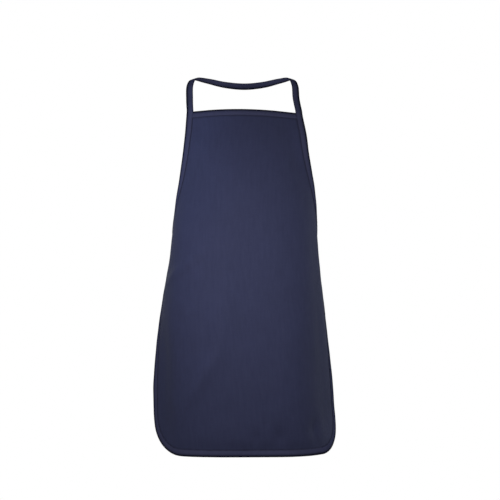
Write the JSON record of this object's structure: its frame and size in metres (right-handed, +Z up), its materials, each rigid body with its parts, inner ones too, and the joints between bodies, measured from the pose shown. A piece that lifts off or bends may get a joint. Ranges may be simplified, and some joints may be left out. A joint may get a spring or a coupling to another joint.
{
  "type": "bib apron",
  "caption": "Bib apron in its worn shape: a cloth panel with hollowed armholes, taped edges and rounded hem corners, a neck loop and knotted waist ties.",
  "frame": {"origin": "middle of the neck strap's inner face, where the strap rests on the nape", "axes": "+Z up, -Y the way the bib faces, +X to the right of someone looking at the bib"},
  "size_m": [0.4088, 0.2361, 0.8412],
  "materials": {
    "cloth": "navy twill, matt",
    "tape": "navy binding tape, matt"
  },
  "bodies": {
    "root": {"apron_panel": "cloth", "bib_top_binding": "tape", "left_armhole_binding": "tape", "right_armhole_binding": "tape", "hem_binding": "tape", "neck_strap": "tape", "left_waist_tie": "tape", "right_waist_tie": "tape", "tie_knot": "tape", "left_tie_end": "tape", "right_tie_end": "tape"}
  },
  "joints": []
}
